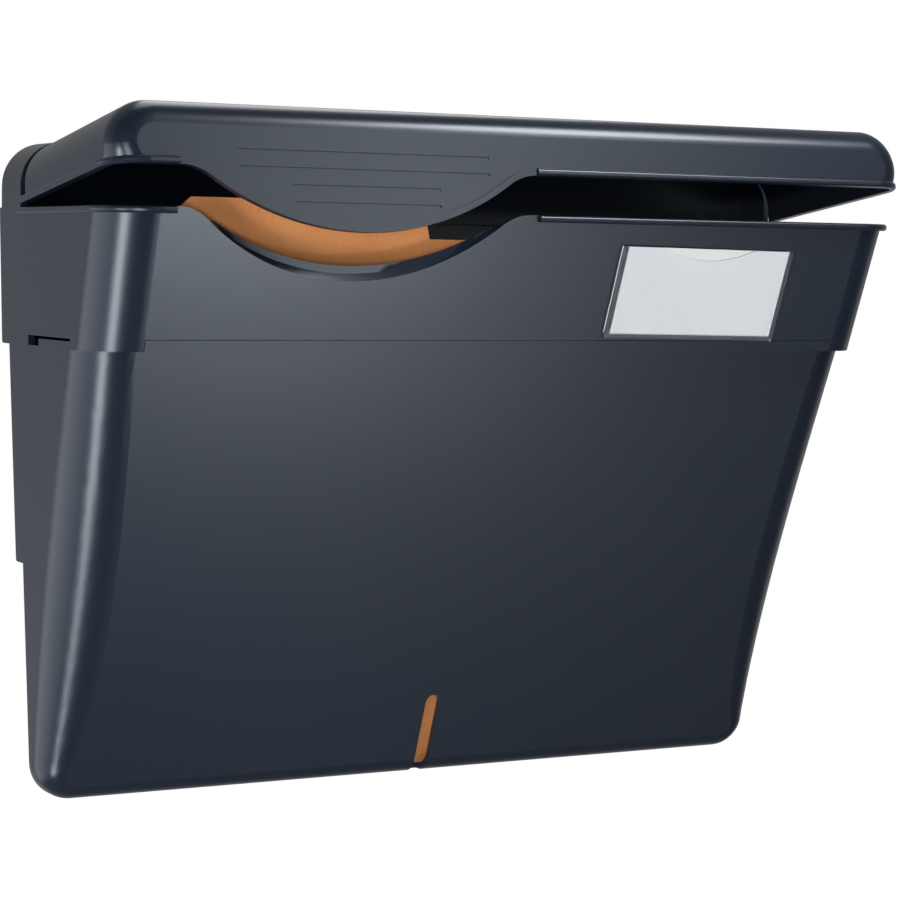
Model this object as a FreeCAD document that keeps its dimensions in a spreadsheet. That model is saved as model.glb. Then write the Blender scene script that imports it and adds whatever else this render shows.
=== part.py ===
import FreeCAD, Part
import math
import os
import re
import Sketcher

# Wall file holder: a moulded pocket with a hinged lid, a clear label sleeve and one folder.
# Millimetres, +Z up, the wall is the plane y = 0 and the front faces -y.
# The origin lies on the wall, midway between the two screw holes.
# The lid is drawn partly open, as the holder is shown.

os.makedirs("parts", exist_ok=True)
doc = FreeCAD.newDocument("wall_file_holder")

# Driving sizes. Every height is measured from the screw line.
SIZES = [
    ("wall", 2.4), ("slope_wall", 2.56), ("span", 400), ("over", 4),
    ("rim_z", 25), ("collar_z", -25.3), ("step_z", -106.6), ("foot_z", -195.2), ("head_top", 49),
    ("rim_depth", 113.6), ("collar_depth", 94.9), ("body_depth", 88.0), ("foot_depth", 25.6),
    ("head_front", 23), ("head_back", 2.3), ("mid_back", 7.2), ("low_back", 14.9),
    ("rim_half", 165), ("collar_half", 163.8), ("body_half", 163.5), ("foot_half", 157.1),
    ("head_round", 16), ("collar_round", 18.5), ("foot_round", 14),
    ("body_round", 18.5), ("shin_round", 12), ("toe_round", 8.5), ("rear_round", 1.2),
    ("hollow_round", 8), ("facet_collar", 9.5), ("facet_high", 10.5), ("facet_knee", 9.8), ("facet_low", 4.2),
    ("knee_z", -125), ("ankle_z", -182),
    ("band_out", 0.4), ("band_high", 4.1),
    ("scoop_x", -71.3), ("scoop_r", 90.65), ("scoop_low", 0.06), ("scoop_shoulder", 16),
    ("lip_r", 107.2), ("lip_low", 5.54), ("lip_near", 0.4), ("lip_deep", 4.2), ("lip_root", 4),
    ("lip_top", 20.5),
    ("bead_out", 1.9), ("bead_high", 2.5), ("bead_left", -141.5), ("bead_right", 1.0),
    ("bead_round", 1.1),
    ("slot_x", 1.3), ("slot_w", 6.2), ("slot_top", -162.5),
    ("window_far", 40), ("window_near", 29), ("window_low", -25.0), ("window_high", -21.4),
    ("slit_far", 72.5), ("slit_high", 1.0),
    ("screw_x", 127), ("screw_r", 2.4),
    ("axis_depth", 26.6), ("axis_z", 46), ("knuckle_r", 3), ("pin_r", 1.5), ("bore_r", 1.57),
    ("ear_x", 118), ("ear_w", 12), ("ear_side", 0.5), ("cheek_w", 6),
    ("lid_gap", 0.6), ("lid_wall", 2.2), ("lid_front", 113.5), ("lid_low", 26.5), ("lid_half", 165),
    ("lid_top_front", 49.6), ("lid_round", 16), ("lid_nose", 9), ("lid_plan", 13),
    ("tongue_r", 101.8), ("tongue_low", 4.5), ("tongue_shoulder", 20),
    ("brim_out", 1.8), ("brim_high", 2.6), ("edge_w", 2.2), ("edge_out", 0.8),
    ("brim_round", 1.1), ("grip_w", 0.9), ("grip_deep", 0.45), ("grip_x", -70.1), ("grip_z", 32.2),
    ("grip_step", 5.97), ("grip_long", 49.2), ("grip_short", 28.8), ("lid_open", 8.3),
    ("sleeve_x", 77.5), ("sleeve_w", 77), ("sleeve_h", 36.9), ("sleeve_top", 14.4),
    ("film", 0.35), ("card_room", 0.5), ("seam_w", 1.8), ("thumb_r", 46.7), ("thumb_deep", 4.8),
    ("pad_t", 0.3), ("pad_inset", 3.2), ("label_turn", 0.8),
    ("card_w", 72.4), ("card_h", 34.7), ("card_t", 0.3), ("card_shift", 0.35),
    ("folder_half", 149), ("folder_top", 15.6), ("tab_top", 28.6), ("folder_foot", -192.3),
    ("leaf_t", 0.6), ("leaf_gap", 0.4), ("folder_near", 19.15), ("folder_lean", 0.3905),
    ("tab_left", -138), ("tab_right", -37), ("tab_cut", 5.5), ("toe_cut", 4),
]
DERIVED = [
    ("collar_slope", "(rim_depth - collar_depth) / (rim_z - collar_z)"),
    ("body_slope", "(body_depth - foot_depth) / (collar_z - foot_z)"),
    ("lean_stretch", "sqrt(1 + collar_slope^2)"),
    ("collar_draft", "(rim_half - collar_half) / (rim_z - collar_z)"),
    ("body_draft", "(body_half - foot_half) / (collar_z - foot_z)"),
    ("rise", "tongue_low + tongue_r - lid_low + tongue_shoulder"),
    ("shoulder_x", "sqrt((tongue_r + tongue_shoulder)^2 - rise^2)"),
    ("turn_x", "shoulder_x * tongue_r / (tongue_r + tongue_shoulder)"),
]

# Facets behind the tall rounded corners: half width, depth, height and leg of each section.
BODY_FACET = [("(foot_half - wall + ({z} - foot_z) * body_draft)",
               "(foot_depth - slope_wall + ({z} - foot_z) * body_slope)", z, leg)
              for z, leg in (("(collar_z + wall)", "facet_high"), ("knee_z", "facet_knee"),
                             ("ankle_z", "facet_low"))]
COLLAR_FACET = [("(collar_half - wall + ({z} - collar_z) * collar_draft)",
                 "(collar_depth - slope_wall + ({z} - collar_z) * collar_slope)", z, "facet_collar")
                for z in ("(rim_z + over)", "(collar_z + wall)")]

sheet = doc.addObject("Spreadsheet::Sheet", "dims")


def fill_sheet():
    """Write every size and every derived slope as a named cell."""
    for row, (name, value) in enumerate(SIZES, start=1):
        sheet.set(f"A{row}", name)
        sheet.set(f"B{row}", str(value))
        sheet.setAlias(f"B{row}", name)
    doc.recompute()
    for row, (name, formula) in enumerate(DERIVED, start=len(SIZES) + 1):
        sheet.set(f"A{row}", name)
        sheet.set(f"B{row}", "=" + formula)
        sheet.setAlias(f"B{row}", name)
    doc.recompute()


def bound(formula):
    """Point every size name of a formula at the sheet."""
    return re.sub(r"\b([a-z]+(?:_[a-z]+)*)\b", r"dims.\1", formula)


def size(formula):
    """Value of a formula over the sheet."""
    return float(sheet.evalExpression(bound(formula)))


def origin_plane(body, role):
    """One of the three planes of a body's own origin."""
    return next(item for item in body.Origin.OriginFeatures if item.Role == role)


def new_sketch(body, role, name):
    """A sketch lying on one of the body's origin planes."""
    sketch = body.newObject("Sketcher::SketchObject", name)
    sketch.AttachmentSupport = [(origin_plane(body, role), "")]
    sketch.MapMode = "FlatFace"
    return sketch


def polygon(sketch, corners):
    """Closed outline whose corners are formulas over the sheet."""
    first = sketch.GeometryCount
    count = len(corners)
    points = [FreeCAD.Vector(size(u), size(v), 0) for u, v in corners]
    for i in range(count):
        sketch.addGeometry(Part.LineSegment(points[i], points[(i + 1) % count]))
    for i in range(count):
        sketch.addConstraint(Sketcher.Constraint("Coincident", first + i, 2, first + (i + 1) % count, 1))
    for i in range(count):
        for kind, value, formula in (("X", points[i].x, corners[i][0]), ("Y", points[i].y, corners[i][1])):
            rule = Sketcher.Constraint("Distance" + kind, -1, 1, first + i, 1, value)
            index = sketch.addConstraint(rule)
            label = f"{kind.lower()}{first + i}"
            sketch.renameConstraint(index, label)
            sketch.setExpression("Constraints." + label, bound(formula))


def symmetric(feature):
    """Let a pad or pocket grow to both sides of its sketch."""
    if hasattr(feature, "SideType"):
        feature.SideType = "Symmetric"
    else:
        feature.Midplane = True


def pad_body(name, role, corners, length):
    """A body holding one symmetric pad of a closed outline."""
    body = doc.addObject("PartDesign::Body", name)
    sketch = new_sketch(body, role, name + "_outline")
    polygon(sketch, corners)
    pad = body.newObject("PartDesign::Pad", name + "_pad")
    pad.Profile = sketch
    symmetric(pad)
    pad.Length = size(length)
    pad.setExpression("Length", bound(length))
    body.Tip = pad
    doc.recompute()
    return body


def trim_sides(body, name, right_outline):
    """Pocket away what lies outside a right-hand outline and its mirror image."""
    sketch = new_sketch(body, "XZ_Plane", name)
    polygon(sketch, right_outline)
    polygon(sketch, [("-(" + u + ")", v) for u, v in right_outline])
    cut = body.newObject("PartDesign::Pocket", name + "_cut")
    cut.Profile = sketch
    symmetric(cut)
    cut.Type = "ThroughAll"
    body.Tip = cut
    doc.recompute()


def combine(kind, name, *parts):
    """Boolean of two or more solids: Cut, Common or MultiFuse."""
    result = doc.addObject("Part::" + kind, name)
    if kind == "MultiFuse":
        result.Shapes = list(parts)
    else:
        result.Base, result.Tool = parts
    doc.recompute()
    return result


def edges_where(shape, test):
    """Numbers of the edges whose middle point and direction pass a test."""
    found = []
    for number, edge in enumerate(shape.Edges, start=1):
        middle = edge.valueAt((edge.FirstParameter + edge.LastParameter) / 2)
        along = edge.valueAt(edge.LastParameter) - edge.valueAt(edge.FirstParameter)
        if test(middle, along):
            found.append(number)
    return found


def round_edges(base, name, groups, kind="Fillet"):
    """Round or chamfer edges of a solid; each group is a test with the size at its top and foot.

    A chain of edges runs from its left end down, across and up to its right end.
    """
    result = doc.addObject("Part::" + kind, name)
    result.Base = base
    chosen = []
    for test, top, foot in groups:
        for number in edges_where(base.Shape, test):
            edge = base.Shape.Edges[number - 1]
            start, end = (top, foot) if edge.CenterOfMass.x < 0 else (foot, top)
            chosen.append((number, start, end))
    result.Edges = chosen
    doc.recompute()
    return result


def drum(name, radius, x, z, near, far):
    """A cylinder lying along the depth, between two depths."""
    solid = doc.addObject("Part::Cylinder", name)
    solid.setExpression("Radius", bound(radius))
    solid.setExpression("Height", bound(f"({far}) - ({near})"))
    solid.Placement = FreeCAD.Placement(
        FreeCAD.Vector(0, 0, 0), FreeCAD.Rotation(FreeCAD.Vector(1, 0, 0), 90))
    solid.setExpression("Placement.Base.x", bound(x))
    solid.setExpression("Placement.Base.y", bound(f"-({near})"))
    solid.setExpression("Placement.Base.z", bound(z))
    doc.recompute()
    return solid


def rod(name, radius, x, length, depth, z):
    """A cylinder lying along the width, centred on x."""
    solid = doc.addObject("Part::Cylinder", name)
    solid.setExpression("Radius", bound(radius))
    solid.setExpression("Height", bound(length))
    solid.Placement = FreeCAD.Placement(
        FreeCAD.Vector(size(f"{x} - ({length}) / 2"), -size(depth), size(z)),
        FreeCAD.Rotation(FreeCAD.Vector(0, 1, 0), 90))
    solid.setExpression("Placement.Base.x", bound(f"{x} - ({length}) / 2"))
    solid.setExpression("Placement.Base.y", bound(f"-({depth})"))
    solid.setExpression("Placement.Base.z", bound(z))
    doc.recompute()
    return solid


def block(name, x0, x1, depth0, depth1, z0, z1):
    """A box between two widths, two depths and two heights, all formulas."""
    solid = doc.addObject("Part::Box", name)
    solid.setExpression("Length", bound(f"({x1}) - ({x0})"))
    solid.setExpression("Width", bound(f"({depth1}) - ({depth0})"))
    solid.setExpression("Height", bound(f"({z1}) - ({z0})"))
    solid.setExpression("Placement.Base.x", bound(x0))
    solid.setExpression("Placement.Base.y", bound(f"-({depth1})"))
    solid.setExpression("Placement.Base.z", bound(z0))
    doc.recompute()
    return solid


# Pocket: the outer form and the hollow are drawn the same way, one wall apart.

def pocket_outer():
    """The solid outer form with its drafted sides and rounded corners."""
    body = pad_body("outer", "YZ_Plane", [
        ("-head_back", "head_top"), ("-head_front", "head_top"), ("-head_front", "rim_z"),
        ("-rim_depth", "rim_z"), ("-collar_depth", "collar_z"), ("-body_depth", "collar_z"),
        ("-foot_depth", "foot_z"), ("-low_back", "foot_z"), ("-low_back", "step_z"),
        ("-mid_back", "step_z"), ("-mid_back", "collar_z"), ("0 * wall", "collar_z"),
        ("0 * wall", "rim_z"), ("-head_back", "rim_z")], "span")
    trim_sides(body, "outer_sides", [
        ("rim_half", "head_top + over"), ("rim_half", "rim_z"), ("collar_half", "collar_z"),
        ("body_half", "collar_z"), ("foot_half", "foot_z"), ("foot_half", "foot_z - over"),
        ("span", "foot_z - over"), ("span", "head_top + over")])
    fronted = round_form(body, "outer", 0, ("body_round", "shin_round", "toe_round"))

    def collar_corner(middle, along):
        level = size("collar_z") < middle.z < size("rim_z")
        return level and -middle.y > size("collar_depth") and abs(along.z) > 20

    def rear_edge(middle, along):
        steps = (("0 * wall", "rim_z"), ("0 * wall", "collar_z"), ("-mid_back", "step_z"))
        return abs(along.x) > 200 and any(
            abs(middle.y - size(y)) < 0.05 and abs(middle.z - size(z)) < 0.05 for y, z in steps)

    cornered = round_edges(fronted, "outer_corners", [
        (collar_corner, size("collar_round"), size("collar_round"))])
    return round_edges(cornered, "outer_rear", [(rear_edge, size("rear_round"), size("rear_round"))])


def pocket_hollow():
    """The solid that is taken out of the outer form."""
    body = pad_body("hollow", "YZ_Plane", [
        ("-head_back - wall", "head_top - wall"), ("-head_front - over", "head_top - wall"),
        ("-head_front - over", "rim_z + over"),
        ("-rim_depth + slope_wall - over * collar_slope", "rim_z + over"),
        ("-collar_depth + slope_wall - wall * collar_slope", "collar_z + wall"),
        ("-body_depth + slope_wall - wall * body_slope", "collar_z + wall"),
        ("-foot_depth + slope_wall - wall * body_slope", "foot_z + wall"),
        ("-low_back - wall", "foot_z + wall"), ("-low_back - wall", "step_z + wall"),
        ("-mid_back - wall", "step_z + wall"), ("-mid_back - wall", "collar_z + wall"),
        ("-wall", "collar_z + wall"), ("-wall", "rim_z - wall"),
        ("-head_back - wall", "rim_z - wall")], "span")
    trim_sides(body, "hollow_sides", [
        ("rim_half - wall", "head_top + over"), ("rim_half - wall", "rim_z"),
        ("collar_half - wall + wall * collar_draft", "collar_z + wall"),
        ("body_half - wall", "collar_z + wall"), ("foot_half - wall", "foot_z + wall"),
        ("foot_half - wall", "foot_z - over"), ("span", "foot_z - over"), ("span", "head_top + over")])
    rounded = round_form(body, "hollow", size("wall"), ("hollow_round",) * 3)
    facets = [corner_facet(part + side, sign, sections)
              for part, sections in (("body_", BODY_FACET), ("collar_", COLLAR_FACET))
              for side, sign in (("left", "-"), ("right", ""))]
    return combine("Cut", "hollow", rounded, combine("MultiFuse", "hollow_facets", *facets))


def corner_facet(name, sign, sections):
    """A three-sided prism that keeps the wall thick behind a tall rounded corner."""
    sketches = []
    for half, front, z, leg in sections:
        across, depth = half.format(z=z), front.format(z=z)
        sketch = doc.addObject("Sketcher::SketchObject", f"facet_{name}_{len(sketches)}")
        sketch.Placement.Base = FreeCAD.Vector(0, 0, size(z))
        polygon(sketch, [(f"{sign}({across} + 1)", f"-{depth} - 1"),
                         (f"{sign}({across} + 1)", f"-{depth} + {leg} + 1"),
                         (f"{sign}({across} - {leg} - 1)", f"-{depth} - 1")])
        sketches.append(sketch)
    prism = doc.addObject("Part::Loft", "facet_" + name)
    prism.Sections = sketches
    prism.Solid = True
    prism.Ruled = True
    doc.recompute()
    return prism


def round_form(body, name, inset, radii):
    """Round the head and the foot, then the body's front edge.

    The three radii belong to the top of the body's corner, its lower end and the toe.
    """
    high, shin, toe = (size(radius) for radius in radii)
    head_top = size("head_top") - inset
    foot = size("foot_z") + inset
    collar = size("collar_z") + inset
    half = size("foot_half")

    def head_edge(middle, along):
        return abs(middle.z - head_top) < 0.1 and abs(along.x) < 0.1 and abs(middle.x) > half

    def foot_edge(middle, along):
        return abs(middle.z - foot) < 0.1 and abs(along.x) < 0.1 and abs(middle.x) > half - 10

    def body_rim(middle, along):
        low = middle.z < collar - 1
        front = size("foot_depth - slope_wall") + (middle.z - foot) * size("body_slope")
        return low and -middle.y > front - 1.0

    first = round_edges(body, name + "_rounds", [
        (head_edge, size("head_round") - inset, size("head_round") - inset),
        (foot_edge, size("foot_round") - inset, size("foot_round") - inset)])

    def tall(middle, along):
        return body_rim(middle, along) and abs(along.z) > 50

    def bend(middle, along):
        return body_rim(middle, along) and 1 < abs(along.z) < 50

    def low(middle, along):
        return body_rim(middle, along) and abs(along.z) <= 1

    return round_edges(first, name + "_front", [(tall, high, shin), (bend, shin, toe), (low, toe, toe)])


def plan_ring(name, half, depth_near, depth_far, z_low, z_high, corner, nose, hollow):
    """A rounded band around the sides and the front, hollowed by the form it hugs."""
    plate = block(name + "_plate", "-(" + half + ")", half, depth_near, depth_far, z_low, z_high)

    def upright(middle, along):
        return abs(along.z) > 1 and -middle.y > size(depth_far) - 1

    cornered = round_edges(plate, name + "_corners", [(upright, size(corner), size(corner))])
    middle_z = size(f"(({z_low}) + ({z_high})) / 2")

    def outer_edge(middle, along):
        return abs(along.z) < 0.1 and -middle.y > size(depth_near) + 0.1

    def upper(middle, along):
        return outer_edge(middle, along) and middle.z > middle_z

    def lower(middle, along):
        return outer_edge(middle, along) and middle.z < middle_z

    rounded = round_edges(cornered, name + "_edges", [(upper, size(nose), size(nose))])
    flat = size(nose) * 0.6
    eased = round_edges(rounded, name + "_under", [(lower, flat, flat)], "Chamfer")
    return combine("Cut", name, eased, hollow)


def scoop_cut(shell):
    """Cut the finger scoop into the front rim and ease its two shoulders."""
    cutter = drum("scoop_drum", "scoop_r", "scoop_x", "scoop_low + scoop_r", "head_front + span / 8",
                  "rim_depth + over")
    notched = combine("Cut", "scooped", shell, cutter)

    def shoulder(middle, along):
        return abs(middle.z - size("rim_z")) < 0.05 and abs(along.y) > 1 and abs(along.x) < 0.2 \
            and abs(middle.x - size("scoop_x")) < 80

    return round_edges(notched, "scoop_shoulders", [
        (shoulder, size("scoop_shoulder"), size("scoop_shoulder"))])


def collar_lean():
    """Rotation from upright to the slope of the collar's front."""
    return FreeCAD.Rotation(FreeCAD.Vector(1, 0, 0), math.degrees(math.atan(size("collar_slope"))))


def slanted_oval(name, radius, low, back):
    """An oval on the collar's slope that looks like a circle from the front."""
    oval = doc.addObject("Part::Ellipse", name)
    oval.setExpression("MajorRadius", bound(f"{radius} * lean_stretch"))
    oval.setExpression("MinorRadius", bound(radius))
    centre_z = f"({low} + {radius})"
    depth = f"rim_depth - (rim_z - {centre_z}) * collar_slope - {back}"
    centre = FreeCAD.Vector(size("scoop_x"), -size(depth), size(centre_z))
    upright = FreeCAD.Rotation(
        FreeCAD.Vector(0, 0, 1), FreeCAD.Vector(1, 0, 0), FreeCAD.Vector(0, 1, 0), "XYZ")
    oval.Placement = FreeCAD.Placement(centre, collar_lean().multiply(upright))
    doc.recompute()
    return oval


def inner_lip():
    """A crescent that slopes inward and upward from the scoop's edge."""
    slab = pad_body("lip_slab", "YZ_Plane", [
        ("-rim_depth + lip_near + collar_slope * (rim_z - lip_top)", "lip_top"),
        ("-rim_depth + lip_deep + collar_slope * (rim_z - lip_top)", "lip_top"),
        ("-collar_depth + lip_deep - over * collar_slope", "collar_z + over"),
        ("-collar_depth + lip_near - over * collar_slope", "collar_z + over")], "span")
    low = drum("lip_drum", "scoop_r + lip_root", "scoop_x", "scoop_low + scoop_r", "body_depth - over",
               "rim_depth + over")
    funnel = doc.addObject("Part::Loft", "lip_funnel")
    funnel.Sections = [slanted_oval("funnel_front", "scoop_r", "scoop_low", "lip_near"),
                       slanted_oval("funnel_rear", "lip_r", "lip_low", "lip_deep")]
    funnel.Solid = True
    funnel.Ruled = True
    doc.recompute()
    ring = combine("Common", "lip_ring", slab, low)
    return combine("Cut", "inner_lip", ring, funnel)


def collar_band():
    """The low raised band along the collar's lower front edge."""
    return pad_body("collar_band", "YZ_Plane", [
        ("-collar_depth - band_out", "collar_z"),
        ("-collar_depth - band_out - band_high * collar_slope", "collar_z + band_high"),
        ("-collar_depth + wall / 2 - band_high * collar_slope", "collar_z + band_high"),
        ("-collar_depth + wall / 2", "collar_z")], "2 * (collar_half - collar_round)")


def rim_bead(hollow):
    """The rounded bead along the rim, open where the scoop is."""
    ring = plan_ring("rim_ring", "rim_half + bead_out", "head_front + 1", "rim_depth + bead_out",
                     "rim_z - bead_high", "rim_z", "collar_round + bead_out", "bead_round", hollow)
    opening = block("rim_opening", "bead_left", "bead_right", "body_depth", "rim_depth + over",
                    "rim_z - over", "rim_z + over")
    return combine("Cut", "rim_bead", ring, opening)


def ears():
    """Two knuckles that reach forward from the head and carry the lid's pins."""
    made = []
    for side, x in (("left", "-ear_x"), ("right", "ear_x")):
        made.append(rod("ear_knuckle_" + side, "knuckle_r - 0.1", x, "ear_w", "axis_depth", "axis_z"))
        made.append(block("ear_web_" + side, f"{x} - ear_w / 2", f"{x} + ear_w / 2", "head_front - wall",
                          "axis_depth", "axis_z - knuckle_r + 0.1", "axis_z + knuckle_r - 0.1"))
    return made


def openings_cut():
    """Cutters for the screw holes, the pin bores, the side windows and the foot slot."""
    cutters = []
    for side, sign in (("left", "-"), ("right", "")):
        cutters.append(drum("screw_" + side, "screw_r", sign + "screw_x", "0 * wall", "-wall", "wall + 1"))
        cutters.append(rod("bore_" + side, "bore_r", sign + "ear_x", "ear_w + wall", "axis_depth", "axis_z"))
    cutters.append(block("window", "-span / 2", "span / 2", "window_near", "window_far",
                         "window_low", "window_high"))
    cutters.append(block("slit", "-span / 2", "span / 2", "window_far - 1", "slit_far",
                         "window_high - slit_high", "window_high"))
    cutters.append(drum("slot_end", "slot_w / 2", "slot_x", "slot_top - slot_w / 2", "low_back + wall",
                        "body_depth"))
    cutters.append(block("slot_run", "slot_x - slot_w / 2", "slot_x + slot_w / 2", "low_back + wall",
                         "body_depth", "foot_z - over", "slot_top - slot_w / 2"))
    return cutters


def make_pocket():
    """The whole moulding: walls, head, scoop, lip, bead, ears and openings."""
    outer = pocket_outer()
    hollow = pocket_hollow()
    shell = combine("Cut", "shell", outer, hollow)
    scooped = scoop_cut(shell)
    solid = combine("MultiFuse", "pocket_solid", scooped, inner_lip(), rim_bead(hollow), collar_band(),
                    *ears())
    cutters = combine("MultiFuse", "pocket_cutters", *openings_cut())
    return combine("Cut", "pocket", solid, cutters)


# Lid: a shallow hood with a finger tongue, drawn closed and then swung open about the pin line.

def lid_form(name, inset):
    """The lid's outer form, or its hollow when an inset is given."""
    rear = "-head_front - lid_gap" if inset == 0 else "-head_front + over"
    low = "lid_low" if inset == 0 else "lid_low - span / 4"
    less = f"{inset} * lid_wall"
    body = pad_body(name, "YZ_Plane", [
        (rear, low), (f"-lid_front + {less}", low), (f"-lid_front + {less}", f"lid_top_front - {less}"),
        (rear, f"head_top - {less}")], f"2 * (lid_half - {less})")
    top = size(f"head_top - {less}")

    def shoulder(middle, along):
        return middle.z > top - 0.5 and abs(along.y) > 20 and abs(middle.x) > 100

    first = round_edges(body, name + "_shoulders", [
        (shoulder, size(f"lid_round - {less}"), size(f"lid_round - {less}"))])
    front = size(f"lid_front - {less}")
    sill = size(low)

    def face_rim(middle, along):
        return abs(-middle.y - front) < 0.05 and middle.z > sill + 1

    def upright(middle, along):
        return face_rim(middle, along) and abs(along.x) < 0.1

    def level(middle, along):
        return face_rim(middle, along) and abs(along.x) >= 0.1

    plan = size(f"lid_plan - {less}")
    nose = size(f"lid_nose - {less}")
    return round_edges(first, name + "_front", [(upright, plan, plan), (level, nose, nose)])


def lid_tongue(lid):
    """Add the round tongue below the front edge and ease its two shoulders."""
    disc = drum("tongue_disc", "tongue_r", "scoop_x", "tongue_low + tongue_r", "lid_front - lid_wall",
                "lid_front")
    slab = block("tongue_slab", "scoop_x - tongue_r", "scoop_x + tongue_r", "lid_front - lid_wall",
                 "lid_front", "tongue_low - 1", "lid_low + 1")
    tongue = combine("Common", "tongue", disc, slab)
    joined = combine("MultiFuse", "lid_tongue", lid, tongue)
    joined.Refine = True
    doc.recompute()

    def corner(middle, along):
        return abs(middle.z - size("lid_low")) < 0.05 and abs(along.y) > 1 and abs(along.x) < 0.1 \
            and abs(middle.x - size("scoop_x")) < 80

    return round_edges(joined, "tongue_shoulders", [
        (corner, size("tongue_shoulder"), size("tongue_shoulder"))])


def ring_piece(name, radius, x, z, x0, x1, z0, z1):
    """Part of a flat ring on the lid's front, kept inside a box."""
    outside = drum(name + "_out", radius + (" + edge_w" if "shoulder" in radius else ""), x, z,
                   "lid_front - lid_wall / 2", "lid_front + edge_out")
    inside = drum(name + "_in", radius + ("" if "shoulder" in radius else " - edge_w"), x, z,
                  "lid_front - lid_wall / 2 - 1", "lid_front + edge_out + 1")
    ring = combine("Cut", name + "_ring", outside, inside)
    keep = block(name + "_keep", x0, x1, "lid_front - lid_wall", "lid_front + over", z0, z1)
    return combine("Common", name, ring, keep)


def tongue_bead():
    """The thin raised line that follows the tongue's edge and both shoulders."""
    main = ring_piece("bead_main", "tongue_r", "scoop_x", "tongue_low + tongue_r",
                      "scoop_x - turn_x - 0.5", "scoop_x + turn_x + 0.5", "tongue_low - 1", "lid_low + over")
    left = ring_piece("bead_left_turn", "tongue_shoulder", "scoop_x - shoulder_x", "lid_low - tongue_shoulder",
                      "scoop_x - shoulder_x", "scoop_x - turn_x + 0.5", "lid_low - tongue_shoulder / 2",
                      "lid_low + over")
    right = ring_piece("bead_right_turn", "tongue_shoulder", "scoop_x + shoulder_x",
                       "lid_low - tongue_shoulder", "scoop_x + turn_x - 0.5", "scoop_x + shoulder_x",
                       "lid_low - tongue_shoulder / 2", "lid_low + over")
    return [main, left, right]


def lid_brim(hollow):
    """The rounded brim along the lid's lower edge, open across the tongue."""
    ring = plan_ring("brim_ring", "lid_half + brim_out", "head_front + lid_gap", "lid_front + brim_out",
                     "lid_low", "lid_low + brim_high", "lid_plan + brim_out", "brim_round", hollow)
    opening = block("brim_opening", "scoop_x - shoulder_x", "scoop_x + shoulder_x", "lid_front",
                    "lid_front + over", "lid_low - 1", "lid_low + over")
    return combine("Cut", "lid_brim", ring, opening)


def grip_lines():
    """Cutters for the four grip grooves, two long and two short."""
    cutters = []
    for row, half in enumerate(("grip_long", "grip_long", "grip_short", "grip_short")):
        cutters.append(block(f"grip_{row}", f"grip_x - {half}", f"grip_x + {half}", "lid_front - grip_deep",
                             "lid_front + 1", f"grip_z - {row} * grip_step - grip_w / 2",
                             f"grip_z - {row} * grip_step + grip_w / 2"))
    return cutters


def hinge_cheeks():
    """Cheeks and pins of the lid at both ears."""
    made = []
    for side, x in (("left", "-ear_x"), ("right", "ear_x")):
        offset = "(ear_w / 2 + ear_side + cheek_w / 2)"
        for place, sign in (("outer", "-"), ("inner", "+")):
            made.append(rod(f"cheek_{side}_{place}", "knuckle_r", f"{x} {sign} {offset}", "cheek_w",
                            "axis_depth", "axis_z"))
        made.append(rod(f"pin_{side}", "pin_r", x, "ear_w + 2 * ear_side + 1", "axis_depth", "axis_z"))
    return made


def hinge_notches():
    """Cutters that clear the lid's top around the ears."""
    return [block(f"notch_{side}", f"{x} - ear_w / 2 - ear_side", f"{x} + ear_w / 2 + ear_side",
                  "head_front - 1", "axis_depth + knuckle_r + 1", "axis_z - knuckle_r - 1", "head_top + over")
            for side, x in (("left", "-ear_x"), ("right", "ear_x"))]


def make_lid():
    """The whole lid, closed."""
    outer = lid_form("lid_outer", 0)
    hollow = lid_form("lid_hollow", 1)

    def rear_edge(middle, along):
        return -middle.y < size("head_front + lid_gap") + 0.1 and middle.z > size("head_top") - 0.1 \
            and abs(along.x) > 10

    barrel = round_edges(outer, "lid_barrel", [(rear_edge, size("knuckle_r"), size("knuckle_r"))])
    shell = combine("Cut", "lid_shell", barrel, hollow)
    tongued = lid_tongue(shell)
    notches = combine("MultiFuse", "notches", *hinge_notches())
    notched = combine("Cut", "lid_notched", tongued, notches)
    whole = combine("MultiFuse", "lid_solid", notched, lid_brim(hollow), *tongue_bead(), *hinge_cheeks())
    grips = combine("MultiFuse", "grips", *grip_lines())
    return combine("Cut", "lid", whole, grips)


# Label: a clear sleeve stuck to the slanted collar, with a card inside.

def lean():
    """Placement at the label's top middle, turned to the collar's slope and a little askew."""
    depth = size("rim_depth - (rim_z - sleeve_top) * collar_slope")
    pivot = FreeCAD.Vector(size("sleeve_x"), -depth, size("sleeve_top"))
    askew = FreeCAD.Rotation(FreeCAD.Vector(0, 1, 0), size("label_turn"))
    return FreeCAD.Placement(pivot, collar_lean().multiply(askew))


def leaning_block(name, left, right, near, far, low, high):
    """A box lying flat on the collar, measured from the label's top middle."""
    solid = doc.addObject("Part::Box", name)
    solid.setExpression("Length", bound(f"({right}) - ({left})"))
    solid.setExpression("Width", bound(f"({far}) - ({near})"))
    solid.setExpression("Height", bound(f"({high}) - ({low})"))
    corner = FreeCAD.Vector(size(left), -size(far), size(low))
    solid.Placement = lean().multiply(FreeCAD.Placement(corner, FreeCAD.Rotation()))
    doc.recompute()
    return solid


def make_label_adhesive():
    """The thin bonding pad between the sleeve and the collar."""
    half = "(sleeve_w / 2 - pad_inset)"
    return leaning_block("label_adhesive", "-" + half, half, "0 * wall", "pad_t",
                         "-sleeve_h + pad_inset", "-pad_inset")


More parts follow.
